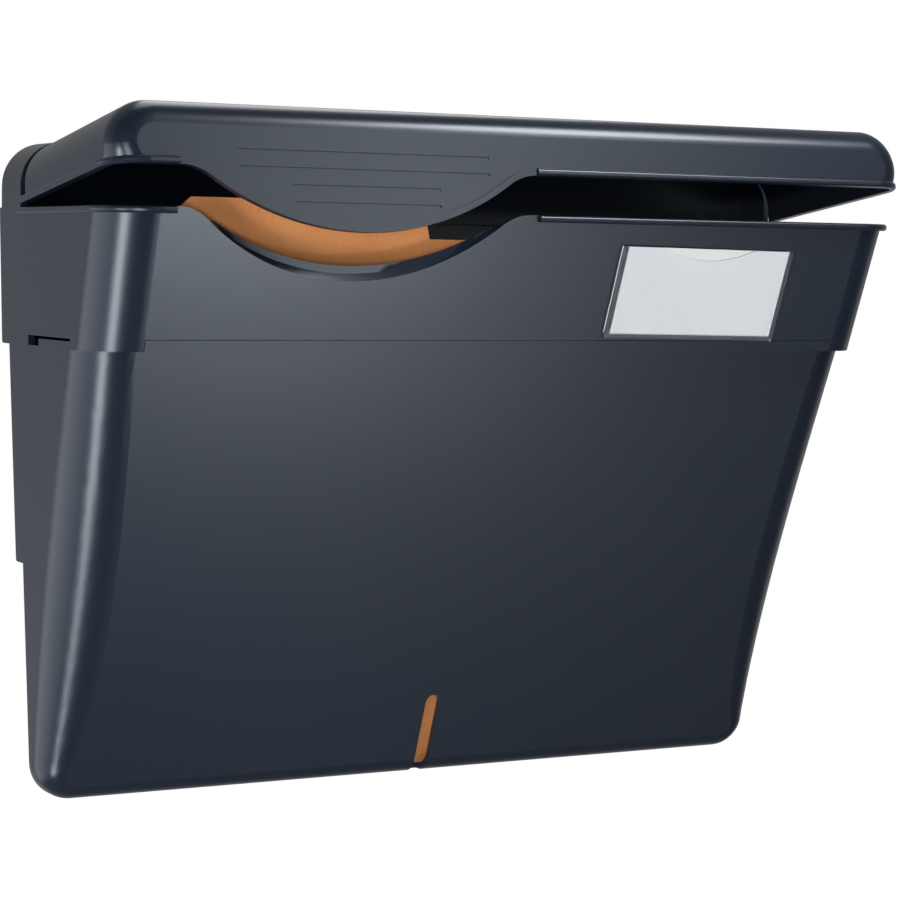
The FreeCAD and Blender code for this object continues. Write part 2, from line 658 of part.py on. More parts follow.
def make_label_sleeve():
    """The clear sleeve: two films welded on three edges, open at the top."""
    half = "(sleeve_w / 2 - seam_w)"
    whole = leaning_block("sleeve_whole", "-sleeve_w / 2", "sleeve_w / 2", "pad_t",
                          "pad_t + 2 * film + card_room", "-sleeve_h", "0 * wall")
    room = leaning_block("sleeve_room", "-" + half, half, "pad_t + film",
                         "pad_t + film + card_room", "-sleeve_h + seam_w", "over")
    thumb = doc.addObject("Part::Cylinder", "sleeve_thumb")
    thumb.setExpression("Radius", bound("thumb_r"))
    thumb.setExpression("Height", bound("over"))
    centre = FreeCAD.Vector(0, -size("pad_t + film + card_room / 2"), size("thumb_r - thumb_deep"))
    across = FreeCAD.Placement(centre, FreeCAD.Rotation(FreeCAD.Vector(1, 0, 0), 90))
    thumb.Placement = lean().multiply(across)
    opened = combine("Cut", "sleeve_opened", whole, room)
    return combine("Cut", "label_sleeve", opened, thumb)


def make_label_card():
    """The blank card, pushed to the right in the sleeve."""
    return leaning_block("label_card", "card_shift - card_w / 2", "card_shift + card_w / 2",
                         "pad_t + film + 0.1", "pad_t + film + 0.1 + card_t",
                         "-sleeve_h + seam_w + 0.2", "-sleeve_h + seam_w + 0.2 + card_h")


# Folder: two leaves joined by a fold, the front leaf with a tab, leaning on the front wall.

def leaf_line(extra, z):
    """Depth of a folder surface at a height, extra millimetres behind its front."""
    return f"-folder_near - folder_lean * ({z} - folder_foot) + {extra}"


def make_folder():
    """The folder with its fold, its tab and its clipped lower corners."""
    front = pad_body("front_leaf", "YZ_Plane", [
        (leaf_line("leaf_t", "folder_foot"), "folder_foot"), (leaf_line("0", "folder_foot"), "folder_foot"),
        (leaf_line("0", "tab_top"), "tab_top"), (leaf_line("leaf_t", "tab_top"), "tab_top")],
        "2 * folder_half")
    rear = pad_body("rear_leaf", "YZ_Plane", [
        (leaf_line("2 * leaf_t + leaf_gap", "folder_foot"), "folder_foot"),
        (leaf_line("leaf_t / 2", "folder_foot"), "folder_foot"),
        (leaf_line("leaf_t / 2", "(folder_foot + leaf_t)"), "folder_foot + leaf_t"),
        (leaf_line("leaf_t + leaf_gap", "(folder_foot + leaf_t)"), "folder_foot + leaf_t"),
        (leaf_line("leaf_t + leaf_gap", "folder_top"), "folder_top"),
        (leaf_line("2 * leaf_t + leaf_gap", "folder_top"), "folder_top")], "2 * folder_half")
    shape = pad_body("leaf_shape", "XZ_Plane", [
        ("-folder_half", "folder_foot + toe_cut"), ("-folder_half + toe_cut", "folder_foot"),
        ("folder_half - toe_cut", "folder_foot"), ("folder_half", "folder_foot + toe_cut"),
        ("folder_half", "folder_top"), ("tab_right", "folder_top"), ("tab_right - tab_cut", "tab_top"),
        ("tab_left + tab_cut", "tab_top"), ("tab_left", "tab_top - tab_cut"), ("tab_left", "folder_top"),
        ("-folder_half", "folder_top")], "span")
    leaves = combine("MultiFuse", "folder_leaves", front, rear)
    return combine("Common", "file_folder", leaves, shape)


def swing_open(lid):
    """Swing the closed lid about its pin line to the pose that is drawn."""
    pivot = FreeCAD.Vector(0, -size("axis_depth"), size("axis_z"))
    turn = FreeCAD.Rotation(FreeCAD.Vector(1, 0, 0), -size("lid_open"))
    lid.Placement = FreeCAD.Placement(pivot, turn).multiply(FreeCAD.Placement(-pivot, FreeCAD.Rotation()))
    doc.recompute()
    return lid


def check_document():
    """Stop when any object is in error or has a bad shape."""
    for item in doc.Objects:
        if any(word in ("Invalid", "Error") for word in item.State):
            raise RuntimeError(f"{item.Name} is {item.State}")
        shape = getattr(item, "Shape", None)
        if shape is not None and not item.TypeId.startswith(("Sketcher", "App")):
            if shape.isNull() or not shape.isValid():
                raise RuntimeError(f"{item.Name} has a bad shape")


def export(items):
    """Write one STEP file for each piece."""
    for item in items:
        item.Label = item.Name
        if len(item.Shape.Solids) != 1:
            raise RuntimeError(f"{item.Name} has {len(item.Shape.Solids)} solids")
        item.Shape.exportStep(f"parts/{item.Label}.step")
        print(item.Label, round(item.Shape.Volume / 1000, 2), "cm3", item.Shape.BoundBox)


fill_sheet()
pieces = [
    make_pocket(),
    swing_open(make_lid()),
    make_label_adhesive(),
    make_label_sleeve(),
    make_label_card(),
    make_folder(),
]
check_document()
export(pieces)
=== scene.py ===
import logging
import math
from dataclasses import dataclass
from enum import Enum

import bmesh
import bpy
from mathutils import Matrix, Vector
from mathutils.bvhtree import BVHTree


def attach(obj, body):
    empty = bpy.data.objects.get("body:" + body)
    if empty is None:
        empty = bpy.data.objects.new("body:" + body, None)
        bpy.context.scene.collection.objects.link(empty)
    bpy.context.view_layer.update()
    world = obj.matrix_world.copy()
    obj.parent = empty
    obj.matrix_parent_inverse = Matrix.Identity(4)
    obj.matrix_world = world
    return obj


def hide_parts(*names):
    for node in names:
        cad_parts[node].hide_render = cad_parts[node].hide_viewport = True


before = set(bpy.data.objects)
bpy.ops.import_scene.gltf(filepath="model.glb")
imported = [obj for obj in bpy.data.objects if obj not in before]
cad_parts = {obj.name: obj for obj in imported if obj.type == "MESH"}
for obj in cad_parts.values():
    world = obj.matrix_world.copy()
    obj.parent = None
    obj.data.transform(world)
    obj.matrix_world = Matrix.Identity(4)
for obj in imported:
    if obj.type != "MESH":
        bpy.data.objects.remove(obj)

LOG = logging.getLogger("wall_file_holder")
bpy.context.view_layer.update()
MM = 0.001


def write_sizes() -> None:
    """Update the scene's view layer.
    """
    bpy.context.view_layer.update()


write_sizes()


class Body(Enum):
    """The rigid bodies that pieces ride on."""

    HOLDER = "holder"
    LID = "lid"
    CARD = "card"


# Shader building blocks


class Nodes:
    """Adds and links shader nodes in one node tree."""

    def __init__(self, tree: bpy.types.NodeTree) -> None:
        """Start with an empty tree.

        Args:
            tree: The node tree to fill.
        """
        self.tree = tree
        tree.nodes.clear()

    def add(self, kind: str, **settings: object) -> bpy.types.Node:
        """Add a node and set its properties or sockets.

        Args:
            kind: The node's type without the ShaderNode prefix.
            **settings: Property values; names of sockets have underscores for blanks.

        Returns:
            The new node.
        """
        prefix = "" if kind.startswith("NodeGroup") else "ShaderNode"
        node = self.tree.nodes.new(prefix + kind)
        for key, value in settings.items():
            if hasattr(node, key):
                setattr(node, key, value)
            else:
                node.inputs[key.replace("_", " ")].default_value = value
        return node

    def link(self, source: bpy.types.NodeSocket, target: bpy.types.NodeSocket) -> None:
        """Join two sockets.

        Args:
            source: An output socket.
            target: An input socket.
        """
        self.tree.links.new(source, target)

    def math(self, operation: str, first: object, second: object = 0.0) -> bpy.types.NodeSocket:
        """Add a math node whose inputs are sockets or numbers.

        Args:
            operation: Blender's name for the operation.
            first: First input.
            second: Second input.

        Returns:
            The node's output socket.
        """
        node = self.add("Math", operation=operation)
        for index, value in enumerate((first, second)):
            if isinstance(value, bpy.types.NodeSocket):
                self.link(value, node.inputs[index])
            else:
                node.inputs[index].default_value = value
        return node.outputs[0]

    def ramp(self, value: bpy.types.NodeSocket, low: float, high: float,
             out_low: float = 0.0, out_high: float = 1.0) -> bpy.types.NodeSocket:
        """Map a value smoothly from one span to another.

        Args:
            value: The socket that is mapped.
            low: Value that gives out_low.
            high: Value that gives out_high.
            out_low: Result at and below low.
            out_high: Result at and above high.

        Returns:
            The mapped value.
        """
        node = self.add("MapRange", interpolation_type="SMOOTHSTEP")
        self.link(value, node.inputs["Value"])
        for name, number in (("From Min", low), ("From Max", high), ("To Min", out_low), ("To Max", out_high)):
            node.inputs[name].default_value = number
        return node.outputs["Result"]

    def mix(self, factor: object, first: object, second: object) -> bpy.types.NodeSocket:
        """Mix two colours.

        Args:
            factor: Socket or number.
            first: Colour or socket at factor 0.
            second: Colour or socket at factor 1.

        Returns:
            The mixed colour.
        """
        node = self.add("Mix", data_type="RGBA")
        for name, value in (("Factor", factor), ("A", first), ("B", second)):
            socket = next(s for s in node.inputs if s.name == name and s.enabled)
            if isinstance(value, bpy.types.NodeSocket):
                self.link(value, socket)
            else:
                socket.default_value = value
        return next(s for s in node.outputs if s.enabled)


def new_group(name: str, inputs: list, outputs: list) -> tuple:
    """Make a shader node group with named sockets.

    Args:
        name: The group's name.
        inputs: Pairs of socket name and default number.
        outputs: Pairs of socket name and socket type.

    Returns:
        The node builder, the group input node and the group output node.
    """
    tree = bpy.data.node_groups.new(name, "ShaderNodeTree")
    for label, default in inputs:
        socket = tree.interface.new_socket(label, in_out="INPUT", socket_type="NodeSocketFloat")
        socket.default_value = default
    for label, kind in outputs:
        tree.interface.new_socket(label, in_out="OUTPUT", socket_type=kind)
    nodes = Nodes(tree)
    return nodes, nodes.add("NodeGroupInput"), nodes.add("NodeGroupOutput")


def moulded_surface() -> bpy.types.NodeTree:
    """Fine satin texture of a moulded surface, with slow unevenness of gloss.

    Returns:
        The node group. It puts out a height and a roughness.
    """
    nodes, given, result = new_group(
        "moulded_surface",
        [("Grain Size", 0.00035), ("Base Roughness", 0.35), ("Unevenness", 0.04)],
        [("Height", "NodeSocketFloat"), ("Roughness", "NodeSocketFloat"), ("Haze", "NodeSocketFloat")])
    place = nodes.add("TexCoord")
    fine = nodes.add("TexNoise", Detail=3.0, Roughness=0.6)
    nodes.link(place.outputs["Object"], fine.inputs["Vector"])
    nodes.link(nodes.math("DIVIDE", 1.0, given.outputs["Grain Size"]), fine.inputs["Scale"])
    slow = nodes.add("TexNoise", Scale=9.0, Detail=2.0)
    nodes.link(place.outputs["Object"], slow.inputs["Vector"])
    middle = nodes.add("TexNoise", Scale=160.0, Detail=4.0)
    nodes.link(place.outputs["Object"], middle.inputs["Vector"])
    swing = nodes.math("MULTIPLY", nodes.math("SUBTRACT", slow.outputs["Fac"], 0.5),
                       given.outputs["Unevenness"])
    speck = nodes.math("MULTIPLY", nodes.math("SUBTRACT", middle.outputs["Fac"], 0.5),
                       nodes.math("MULTIPLY", given.outputs["Unevenness"], 0.5))
    rough = nodes.math("ADD", nodes.math("ADD", given.outputs["Base Roughness"], swing), speck)
    nodes.link(fine.outputs["Fac"], result.inputs["Height"])
    nodes.link(rough, result.inputs["Roughness"])
    nodes.link(slow.outputs["Fac"], result.inputs["Haze"])
    return nodes.tree


def paper_fibre() -> bpy.types.NodeTree:
    """Mottled fibre of card and paper.

    Returns:
        The node group. It puts out a height and a mottle value.
    """
    nodes, given, result = new_group(
        "paper_fibre", [("Fibre Size", 0.0012)],
        [("Height", "NodeSocketFloat"), ("Mottle", "NodeSocketFloat")])
    place = nodes.add("TexCoord")
    stretch = nodes.add("Mapping")
    stretch.inputs["Scale"].default_value = (1.0, 1.0, 0.35)
    nodes.link(place.outputs["Object"], stretch.inputs["Vector"])
    fibre = nodes.add("TexNoise", Detail=6.0, Roughness=0.65)
    nodes.link(stretch.outputs["Vector"], fibre.inputs["Vector"])
    nodes.link(nodes.math("DIVIDE", 1.0, given.outputs["Fibre Size"]), fibre.inputs["Scale"])
    cloud = nodes.add("TexNoise", Scale=45.0, Detail=3.0)
    nodes.link(place.outputs["Object"], cloud.inputs["Vector"])
    nodes.link(fibre.outputs["Fac"], result.inputs["Height"])
    both = nodes.math("ADD", nodes.math("MULTIPLY", fibre.outputs["Fac"], 0.5),
                      nodes.math("MULTIPLY", cloud.outputs["Fac"], 0.5))
    nodes.link(both, result.inputs["Mottle"])
    return nodes.tree


def weld_marks() -> bpy.types.NodeTree:
    """Uneven whitening along a weld seam: long pale runs broken by darker, clearer spots.

    Returns:
        The node group. It puts out a blotch value and a roughness.
    """
    nodes, given, result = new_group(
        "weld_marks", [("Spot Scale", 420.0)],
        [("Blotch", "NodeSocketFloat"), ("Roughness", "NodeSocketFloat")])
    place = nodes.add("TexCoord")
    spots = nodes.add("TexNoise", Detail=3.0, Roughness=0.55)
    nodes.link(place.outputs["Object"], spots.inputs["Vector"])
    nodes.link(given.outputs["Spot Scale"], spots.inputs["Scale"])
    side = nodes.add("SeparateXYZ")
    nodes.link(place.outputs["Object"], side.inputs["Vector"])
    whole = nodes.ramp(side.outputs["X"], 0.040, 0.062, 0.30, 0.0)
    blotch = nodes.ramp(nodes.math("ADD", spots.outputs["Fac"], whole), 0.44, 0.58)
    nodes.link(blotch, result.inputs["Blotch"])
    nodes.link(nodes.ramp(blotch, 0.0, 1.0, 0.18, 0.42), result.inputs["Roughness"])
    return nodes.tree


# Finishes


@dataclass(frozen=True)
class MouldedPlastic:
    """Dark satin plastic of the two mouldings."""

    name: str = "moulded_shell"
    colour: tuple = (0.0052, 0.0100, 0.0205, 1.0)
    haze_colour: tuple = (0.0066, 0.0116, 0.0224, 1.0)
    roughness: float = 0.285
    unevenness: float = 0.035
    grain: float = 0.00030
    bump: float = 0.0000012
    specular: float = 0.53
    specular_tint: tuple = (0.86, 0.93, 1.0, 1.0)

    def build(self, surface: bpy.types.NodeTree) -> bpy.types.Material:
        """Make the material.

        Args:
            surface: The moulded surface group.

        Returns:
            The material.
        """
        material = bpy.data.materials.new(self.name)
        material.use_nodes = True
        nodes = Nodes(material.node_tree)
        out = nodes.add("OutputMaterial")
        shader = nodes.add("BsdfPrincipled", IOR=1.5)
        shader.inputs["Specular IOR Level"].default_value = self.specular
        shader.inputs["Specular Tint"].default_value = self.specular_tint
        texture = nodes.add("Group")
        texture.node_tree = surface
        texture.inputs["Grain Size"].default_value = self.grain
        texture.inputs["Base Roughness"].default_value = self.roughness
        texture.inputs["Unevenness"].default_value = self.unevenness
        nodes.link(nodes.mix(texture.outputs["Haze"], self.colour, self.haze_colour),
                   shader.inputs["Base Color"])
        nodes.link(texture.outputs["Roughness"], shader.inputs["Roughness"])
        bump = nodes.add("Bump", Distance=self.bump, Strength=1.0)
        nodes.link(texture.outputs["Height"], bump.inputs["Height"])
        nodes.link(bump.outputs["Normal"], shader.inputs["Normal"])
        nodes.link(shader.outputs["BSDF"], out.inputs["Surface"])
        return material


@dataclass(frozen=True)
class PaperStock:
    """Card or paper with a fibre mottle."""

    name: str
    colour: tuple
    deep_colour: tuple
    roughness: float = 0.75
    fibre: float = 0.0012
    bump: float = 0.00003

    def build(self, fibre_group: bpy.types.NodeTree) -> bpy.types.Material:
        """Make the material.

        Args:
            fibre_group: The paper fibre group.

        Returns:
            The material.
        """
        material = bpy.data.materials.new(self.name)
        material.use_nodes = True
        nodes = Nodes(material.node_tree)
        out = nodes.add("OutputMaterial")
        shader = nodes.add("BsdfPrincipled", Roughness=self.roughness, IOR=1.45)
        shader.inputs["Specular IOR Level"].default_value = 0.3
        texture = nodes.add("Group")
        texture.node_tree = fibre_group
        texture.inputs["Fibre Size"].default_value = self.fibre
        spread = nodes.ramp(texture.outputs["Mottle"], 0.35, 0.65)
        nodes.link(nodes.mix(spread, self.deep_colour, self.colour), shader.inputs["Base Color"])
        bump = nodes.add("Bump", Distance=self.bump, Strength=1.0)
        nodes.link(texture.outputs["Height"], bump.inputs["Height"])
        nodes.link(bump.outputs["Normal"], shader.inputs["Normal"])
        nodes.link(shader.outputs["BSDF"], out.inputs["Surface"])
        return material


@dataclass(frozen=True)
class ClearFilm:
    """Clear plastic of the label sleeve."""

    name: str = "clear_film"
    colour: tuple = (0.94, 0.96, 0.98, 1.0)
    roughness: float = 0.06

    def build(self) -> bpy.types.Material:
        """Make the material.

        Returns:
            The material.
        """
        material = bpy.data.materials.new(self.name)
        material.use_nodes = True
        nodes = Nodes(material.node_tree)
        out = nodes.add("OutputMaterial")
        shader = nodes.add("BsdfPrincipled", Roughness=self.roughness, IOR=1.45)
        shader.inputs["Base Color"].default_value = self.colour
        shader.inputs["Transmission Weight"].default_value = 1.0
        place = nodes.add("TexCoord")
        ripple = nodes.add("TexNoise", Scale=120.0, Detail=2.0)
        nodes.link(place.outputs["Object"], ripple.inputs["Vector"])
        bump = nodes.add("Bump", Distance=0.00002, Strength=0.6)
        nodes.link(ripple.outputs["Fac"], bump.inputs["Height"])
        nodes.link(bump.outputs["Normal"], shader.inputs["Normal"])
        nodes.link(shader.outputs["BSDF"], out.inputs["Surface"])
        return material


@dataclass(frozen=True)
class WeldedSeam:
    """Frosted weld along the edges of the label sleeve."""

    name: str = "welded_seam"
    pale: tuple = (0.66, 0.69, 0.72, 1.0)
    deep: tuple = (0.16, 0.18, 0.21, 1.0)

    def build(self, marks: bpy.types.NodeTree) -> bpy.types.Material:
        """Make the material.

        Args:
            marks: The group with the weld's blotches.

        Returns:
            The material.
        """
        material = bpy.data.materials.new(self.name)
        material.use_nodes = True
        nodes = Nodes(material.node_tree)
        out = nodes.add("OutputMaterial")
        shader = nodes.add("BsdfPrincipled", IOR=1.45)
        texture = nodes.add("Group")
        texture.node_tree = marks
        nodes.link(nodes.mix(texture.outputs["Blotch"], self.deep, self.pale), shader.inputs["Base Color"])
        nodes.link(texture.outputs["Roughness"], shader.inputs["Roughness"])
        bump = nodes.add("Bump", Distance=0.00012, Strength=1.0)
        nodes.link(texture.outputs["Blotch"], bump.inputs["Height"])
        nodes.link(bump.outputs["Normal"], shader.inputs["Normal"])
        nodes.link(shader.outputs["BSDF"], out.inputs["Surface"])
        return material


class Finishes:
    """Every material of the holder."""

    def __init__(self) -> None:
        """Build the shared groups and the materials."""
        moulded = moulded_surface()
        fibre = paper_fibre()
        self.shell = MouldedPlastic().build(moulded)
        self.folder = PaperStock("tan_card", (0.68, 0.285, 0.105, 1.0), (0.60, 0.24, 0.08, 1.0)).build(fibre)
        self.card = PaperStock("white_card", (0.72, 0.735, 0.735, 1.0), (0.70, 0.715, 0.715, 1.0),
                               fibre=0.0008, bump=0.00001).build(fibre)
        self.adhesive = PaperStock("adhesive", (0.36, 0.38, 0.40, 1.0), (0.24, 0.25, 0.27, 1.0),
                                   roughness=0.5, fibre=0.004).build(fibre)
        self.film = ClearFilm().build()
        self.seam = WeldedSeam().build(weld_marks())


# Pieces


class SurfaceNormals:
    """Looks up the true surface normal of a CAD mesh near a point."""

    REACH = 0.6 * MM

    def __init__(self, mesh: bpy.types.Mesh) -> None:
        """Index the mesh's triangles and the normals at their corners.

        Args:
            mesh: The CAD node's mesh.
        """
        mesh.calc_loop_triangles()
        self.points = [vertex.co.copy() for vertex in mesh.vertices]
        self.corners = [tuple(triangle.vertices) for triangle in mesh.loop_triangles]
        self.normals = [[Vector(mesh.corner_normals[loop].vector) for loop in triangle.loops]
                        for triangle in mesh.loop_triangles]
        self.flats = [triangle.normal.copy() for triangle in mesh.loop_triangles]
        self.tree = BVHTree.FromPolygons(self.points, self.corners)

    def at(self, place: Vector, facing: Vector) -> Vector | None:
        """Find the surface normal at a place, on the triangle that faces most like the given face.

        Args:
            place: A point on or near the surface.
            facing: Normal of the face that the point belongs to.

        Returns:
            The normal, or None where no triangle fits.
        """
        best, best_score = None, 0.9
        for spot, _, index, distance in self.tree.find_nearest_range(place, self.REACH):
            score = self.flats[index].dot(facing) - distance / self.REACH * 0.2
            if score > best_score:
                best, best_score = self.blended(index, spot), score
        return best

    def blended(self, index: int, spot: Vector) -> Vector:
        """Blend the corner normals of one triangle.

        Args:
            index: The triangle.
            spot: A point in it.

        Returns:
            The normal at the point.
        """
        first, second, third = (self.points[corner] for corner in self.corners[index])
        side, other, reach = second - first, third - first, spot - first
        area = side.cross(other)
        if area.length_squared < 1e-24:
            return self.normals[index][0]
        share_two = max(0.0, reach.cross(other).dot(area) / area.length_squared)
        share_three = max(0.0, side.cross(reach).dot(area) / area.length_squared)
        share_one = max(0.0, 1.0 - share_two - share_three)
        one, two, three = self.normals[index]
        return (one * share_one + two * share_two + three * share_three).normalized()


@dataclass
class Dressed:
    """A CAD solid shown with softly broken edges, its true surface normals and a finish."""

    node: str
    body: Body
    bevel: float = 0.3 * MM
    crease_degrees: float = 32.0

    def build(self, *materials: bpy.types.Material) -> bpy.types.Object:
        """Make the shown copy of the node.

        Args:
            *materials: The finish, and those of marked faces.

        Returns:
            The new object.
        """
        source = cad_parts[self.node].data
        mesh = bpy.data.meshes.new(self.node + "_shown")
        work = bmesh.new()
        work.from_mesh(source)
        bmesh.ops.remove_doubles(work, verts=work.verts, dist=2e-6)
        self.mark(work)
        rims = self.broken_edges(work)
        work.to_mesh(mesh)
        mesh.normals_split_custom_set(self.shading(work, rims, SurfaceNormals(source)))
        work.free()
        shown = bpy.data.objects.new(self.node + "_shown", mesh)
        bpy.context.scene.collection.objects.link(shown)
        mesh.materials.clear()
        for finish in materials:
            mesh.materials.append(finish)
        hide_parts(self.node)
        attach(shown, self.body.value)
        LOG.info("%s: %d faces", self.node, len(mesh.polygons))
        return shown

    def mark(self, work: bmesh.types.BMesh) -> None:
        """Give faces that have another finish their slot; a plain piece has none.

        Args:
            work: The welded mesh.
        """

    def broken_edges(self, work: bmesh.types.BMesh) -> set:
        """Bevel every sharp edge.

        Args:
            work: The welded mesh.

        Returns:
            The faces that the bevel made.
        """
        limit = math.radians(self.crease_degrees)
        sharp = [edge for edge in work.edges if edge.is_manifold and edge.calc_face_angle() > limit]
        made = bmesh.ops.bevel(work, geom=sharp, offset=self.bevel, offset_type="OFFSET", segments=2,
                               profile=0.5, affect="EDGES", clamp_overlap=True, loop_slide=True)
        for face in work.faces:
            face.smooth = True
        work.normal_update()
        return set(made["faces"])

    @staticmethod
    def shading(work: bmesh.types.BMesh, rims: set, true_normals: SurfaceNormals) -> list:
        """Normals for every face corner: true on the faces, blended across the broken edges.

        Args:
            work: The bevelled mesh.
            rims: The faces that the bevel made.
            true_normals: The CAD mesh's normals.

        Returns:
            One normal for each corner, in the mesh's order.
        """
        work.faces.index_update()
        kept = {}
        for face in work.faces:
            if face not in rims:
                for loop in face.loops:
                    kept[loop] = true_normals.at(loop.vert.co, face.normal) or Dressed.smoothed(loop)
        result = []
        for face in work.faces:
            for loop in face.loops:
                if loop in kept:
                    result.append(kept[loop])
                    continue
                beside = [kept[other] for other in loop.vert.link_loops if other in kept]
                whole = sum(beside, Vector()) if beside else loop.vert.normal
                result.append(whole.normalized())
        return result


    @staticmethod
    def smoothed(loop: bmesh.types.BMLoop) -> Vector:
        """Blend the faces around a corner that turn little; used where the shown form was moved.

        Args:
            loop: The face corner.

        Returns:
            The normal.
        """
        facing = loop.face.normal
        near = [face for face in loop.vert.link_faces if face.normal.dot(facing) > 0.85]
        return sum((face.normal * face.calc_area() for face in near), facing * 1e-9).normalized()


@dataclass
class PocketShell(Dressed):
    """The pocket, whose scoop lip stands a little steeper than in the CAD solid."""

    lip_middle: tuple = (-71.3 * MM, 112.74 * MM)
    lip_radius: float = 107.2 * MM
    lip_top: float = 20.6 * MM
    lip_shift: float = 1.6 * MM

    def mark(self, work: bmesh.types.BMesh) -> None:
        """Move the lip's inner edge forward.

        Args:
            work: The welded mesh.
        """
        for vertex in work.verts:
            away = math.hypot(vertex.co.x - self.lip_middle[0], vertex.co.z - self.lip_middle[1])
            if abs(away - self.lip_radius) < 0.1 * MM and vertex.co.z < self.lip_top and vertex.co.y < -0.09:
                vertex.co.y -= self.lip_shift


@dataclass
class SeamedSleeve(Dressed):
    """The label sleeve, whose weld seams along the sides and the foot are frosted."""

    seam: float = 1.8 * MM

    def mark(self, work: bmesh.types.BMesh) -> None:
        """Cut the films along the seams and mark the strips outside the cuts.

        Args:
            work: The welded mesh.
        """
        sides = [face.normal.copy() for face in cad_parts["label_card"].data.polygons]
        across = max(sides, key=lambda normal: normal.x)
        upward = max(sides, key=lambda normal: normal.z)
        cuts = []
        for axis, both_ends in ((across, True), (upward, False)):
            reach = [vertex.co.dot(axis) for vertex in work.verts]
            cuts.append((axis, min(reach) + self.seam, 1.0))
            if both_ends:
                cuts.append((axis, max(reach) - self.seam, -1.0))
        for axis, place, _ in cuts:
            everything = work.verts[:] + work.edges[:] + work.faces[:]
            bmesh.ops.bisect_plane(work, geom=everything, dist=1e-6, plane_co=axis * place, plane_no=axis)
        work.normal_update()
        for face in work.faces:
            middle = face.calc_center_median()
            face.material_index = int(any((middle.dot(axis) - place) * sign < 0.0 for axis, place, sign in cuts))


@dataclass
class BulgingFolder(Dressed):
    """The folder, whose leaves bow forward to the front wall near the foot slot."""

    middle: float = 1.3 * MM
    reach: float = 70.0 * MM
    columns: int = 12
    profile: tuple = ((-192.4, 1.4), (-189.0, 3.3), (-186.0, 4.1), (-175.0, 4.1), (-162.0, 3.8),
                      (-150.0, 3.0), (-138.0, 2.0), (-124.0, 1.0), (-110.0, 0.3), (-98.0, 0.0))

    def mark(self, work: bmesh.types.BMesh) -> None:
        """Cut the leaves into a fine grid near the slot and bow them.

        Args:
            work: The welded mesh.
        """
        heights = [height * MM for height, _ in self.profile[1:]]
        places = [self.middle + self.reach * (2.0 * step / self.columns - 1.0) for step in range(self.columns + 1)]
        for axis, cuts in ((Vector((0.0, 0.0, 1.0)), heights), (Vector((1.0, 0.0, 0.0)), places)):
            for place in cuts:
                everything = work.verts[:] + work.edges[:] + work.faces[:]
                bmesh.ops.bisect_plane(work, geom=everything, dist=1e-6, plane_co=axis * place, plane_no=axis)
        for vertex in work.verts:
            away = min(1.0, abs(vertex.co.x - self.middle) / self.reach)
            vertex.co.y -= self.depth_at(vertex.co.z) * 0.5 * (1.0 + math.cos(math.pi * away))

    def depth_at(self, height: float) -> float:
        """How far the leaves bow forward at a height.

        Args:
            height: Height in metres.

        Returns:
            The shift in metres.
        """
        rows = [(low * MM, shift * MM) for low, shift in self.profile]
        if height <= rows[0][0]:
            return rows[0][1]
        for (low, start), (high, end) in zip(rows, rows[1:]):
            if height <= high:
                return start + (end - start) * (height - low) / (high - low)
        return 0.0


class Holder:
    """The pocket with its lid, label and folder."""

    def __init__(self, finishes: Finishes) -> None:
        """Keep the finishes.

        Args:
            finishes: The materials.
        """
        self.finishes = finishes

    def build(self) -> None:
        """Make every piece of the holder."""
        PocketShell("pocket", Body.HOLDER).build(self.finishes.shell)
        Dressed("lid", Body.LID).build(self.finishes.shell)
        SeamedSleeve("label_sleeve", Body.HOLDER, bevel=0.1 * MM).build(self.finishes.film, self.finishes.seam)
        Dressed("label_adhesive", Body.HOLDER, bevel=0.05 * MM).build(self.finishes.adhesive)
        Dressed("label_card", Body.CARD, bevel=0.05 * MM).build(self.finishes.card)
        BulgingFolder("file_folder", Body.HOLDER, bevel=0.1 * MM).build(self.finishes.folder)


# Studio


@dataclass(frozen=True)
class Softbox:
    """A rectangular lamp on a sphere around the holder, aimed at its middle."""

    name: str
    azimuth: float
    elevation: float
    width: float
    height: float
    radiance: float
    colour: tuple = (1.0, 1.0, 1.0)
    middle: tuple = (0.0, -0.10, -0.07)
    distance: float = 3.0

    def build(self) -> bpy.types.Object:
        """Make the lamp.

        Returns:
            The lamp object.
        """
        lamp = bpy.data.lights.new(self.name, "AREA")
        lamp.shape = "RECTANGLE"
        lamp.size = self.width
        lamp.size_y = self.height
        lamp.energy = self.radiance * math.pi * self.width * self.height
        lamp.color = self.colour
        item = bpy.data.objects.new(self.name, lamp)
        bpy.context.scene.collection.objects.link(item)
        turn, rise = math.radians(self.azimuth), math.radians(self.elevation)
        outward = Vector((math.sin(turn) * math.cos(rise), -math.cos(turn) * math.cos(rise), math.sin(rise)))
        item.location = Vector(self.middle) + outward * self.distance
        item.rotation_euler = outward.to_track_quat("Z", "Y").to_euler()
        item.visible_camera = False
        return item


